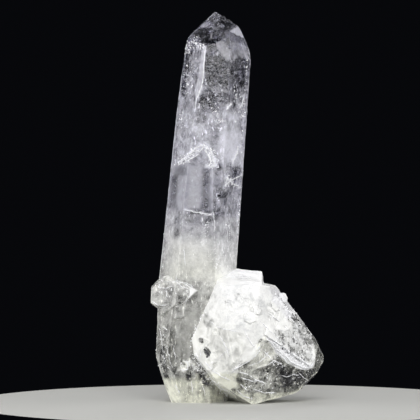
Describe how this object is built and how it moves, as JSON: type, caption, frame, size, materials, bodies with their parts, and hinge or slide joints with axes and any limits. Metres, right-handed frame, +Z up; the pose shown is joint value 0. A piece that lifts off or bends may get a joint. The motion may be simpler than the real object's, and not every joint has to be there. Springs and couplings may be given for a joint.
{
  "type": "quartz crystal cluster",
  "caption": "Natural Tibetan quartz: a tall leaning six-sided point with a stubby frosted crystal across its foot, on a flat cut base.",
  "frame": {"origin": "middle of the cluster's box, on the flat foot that it stands on", "axes": "+Z up along the point, -Y towards the side that the picture shows, +X to that view's right"},
  "size_m": [0.0402, 0.0236, 0.0898],
  "materials": {
    "quartz": "clear to milky quartz, glossy on the point's faces and frosted on the second crystal"
  },
  "bodies": {
    "root": {"quartz": "quartz"}
  },
  "joints": []
}
